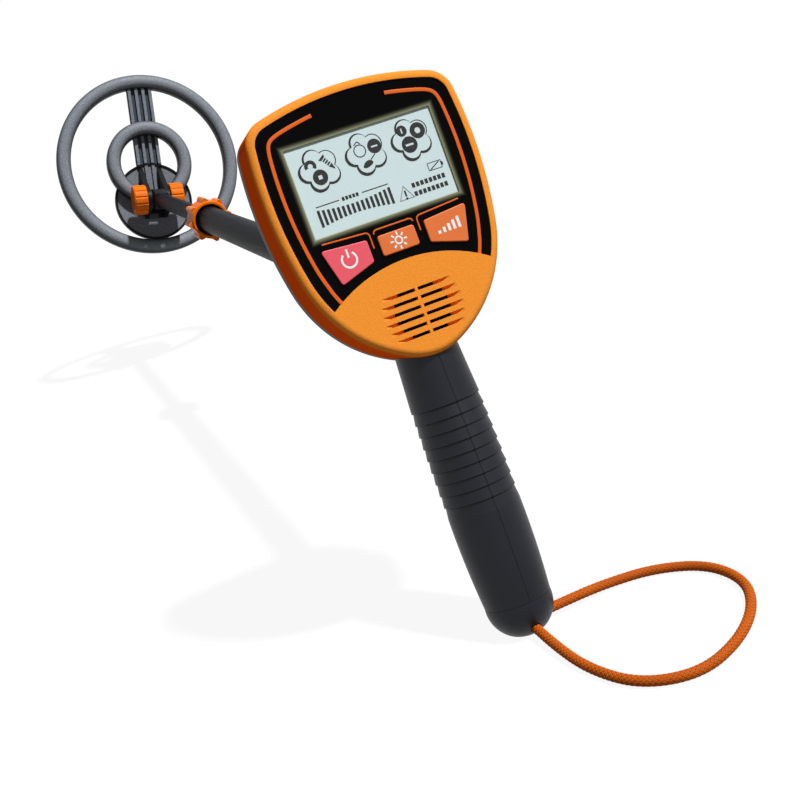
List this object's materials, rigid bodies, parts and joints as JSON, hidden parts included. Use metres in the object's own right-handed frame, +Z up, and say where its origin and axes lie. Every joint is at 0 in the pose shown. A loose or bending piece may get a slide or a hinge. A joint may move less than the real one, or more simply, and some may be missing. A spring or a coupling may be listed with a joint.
{
  "type": "handheld metal detector",
  "caption": "Compact handheld metal detector: shield-shaped control box on a ribbed pistol grip, telescopic shaft, and a tilting open ring search coil.",
  "frame": {"origin": "middle of the level flat on the foot of the grip, which stands on z = 0", "axes": "+X to the right of the person who holds it, +Y along the shaft towards the search coil, +Z up"},
  "size_m": [0.188, 0.9125, 0.2943],
  "materials": {
    "housing_orange": "matte",
    "case_black": "matte",
    "panel_black": "satin",
    "clear_window": "clear",
    "screen_grey": "satin",
    "board_green": "satin",
    "speaker_black": "matte",
    "screw_steel": "satin",
    "cell_wrap": "semi-gloss",
    "contact_metal": "satin",
    "grip_black": "matte",
    "tube_black": "semi-gloss",
    "strap_orange": "braided",
    "button_red": "satin",
    "button_orange": "satin",
    "collar_orange": "satin",
    "bush_nylon": "matte",
    "coil_grey": "matte",
    "coil_base_black": "matte",
    "winding_copper": "enamelled",
    "washer_rubber": "matte",
    "knob_orange": "satin"
  },
  "bodies": {
    "handle": {"front_housing": "housing_orange", "rear_cover": "case_black", "face_panel": "panel_black", "display_window": "clear_window", "lcd_module": "screen_grey", "circuit_board": "board_green", "key_switches": "case_black", "speaker": "speaker_black", "case_screws": "screw_steel", "board_screws": "screw_steel", "battery_cells": "cell_wrap", "battery_contacts": "contact_metal", "grip_left": "grip_black", "grip_right": "grip_black", "grip_screws": "screw_steel", "grip_end_cap": "grip_black", "upper_tube": "tube_black", "shaft_screw": "screw_steel", "tube_ferrule": "case_black", "wrist_strap": "strap_orange"},
    "power_button": {"power_button": "button_red"},
    "backlight_button": {"backlight_button": "button_orange"},
    "mode_button": {"mode_button": "button_orange"},
    "battery_door": {"battery_door": "case_black"},
    "lock_collar": {"lock_collar": "collar_orange"},
    "guide_bush": {"guide_bush": "bush_nylon"},
    "lower_shaft": {"lower_tube": "tube_black", "shaft_stop": "case_black", "shaft_tongue": "case_black"},
    "coil": {"outer_ring": "coil_grey", "outer_ring_base": "coil_base_black", "outer_winding": "winding_copper", "inner_ring": "coil_grey", "inner_ring_base": "coil_base_black", "inner_winding": "winding_copper", "coil_web": "coil_grey", "coil_bracket": "case_black", "hinge_bolt": "bush_nylon", "hinge_washers": "washer_rubber"},
    "knob_right": {"knob_right": "knob_orange"},
    "knob_left": {"knob_left": "knob_orange"}
  },
  "joints": [
    {"name": "power_press", "type": "slide", "parent": "handle", "child": "power_button", "axis": [0, 0.9613, -0.2756], "range_m": [0, 0.0008], "stiffness_N_per_m": 2500},
    {"name": "backlight_press", "type": "slide", "parent": "handle", "child": "backlight_button", "axis": [0, 0.9613, -0.2756], "range_m": [0, 0.0008], "stiffness_N_per_m": 2500},
    {"name": "mode_press", "type": "slide", "parent": "handle", "child": "mode_button", "axis": [0, 0.9613, -0.2756], "range_m": [0, 0.0008], "stiffness_N_per_m": 2500},
    {"name": "door_swing", "type": "hinge", "parent": "handle", "child": "battery_door", "pos_m": [0, 0.07434, 0.2141], "axis": [-1, 0, 0], "range_deg": [0, 90]},
    {"name": "collar_turn", "type": "hinge", "parent": "handle", "child": "lock_collar", "pos_m": [0, 0.513, 0.17], "axis": [0, 1, 0], "range_deg": [0, 90]},
    {"name": "shaft_slide", "type": "slide", "parent": "handle", "child": "guide_bush", "axis": [0, 1, 0], "range_m": [-0.16, 0.005]},
    {"name": "shaft_twist", "type": "hinge", "parent": "guide_bush", "child": "lower_shaft", "pos_m": [0, 0.6, 0.17], "axis": [0, 1, 0], "range_deg": [-103.4, 76.6]},
    {"name": "coil_tilt", "type": "hinge", "parent": "lower_shaft", "child": "coil", "pos_m": [0, 0.752, 0.17], "axis": [-0.9728, 0, 0.2317], "range_deg": [-15, 70]},
    {"name": "knob_right_turn", "type": "hinge", "parent": "coil", "child": "knob_right", "pos_m": [0.01946, 0.752, 0.16537], "axis": [0.9728, 0, -0.2317], "continuous": true},
    {"name": "knob_left_turn", "type": "hinge", "parent": "coil", "child": "knob_left", "pos_m": [-0.01946, 0.752, 0.17463], "axis": [-0.9728, 0, 0.2317], "continuous": true}
  ]
}
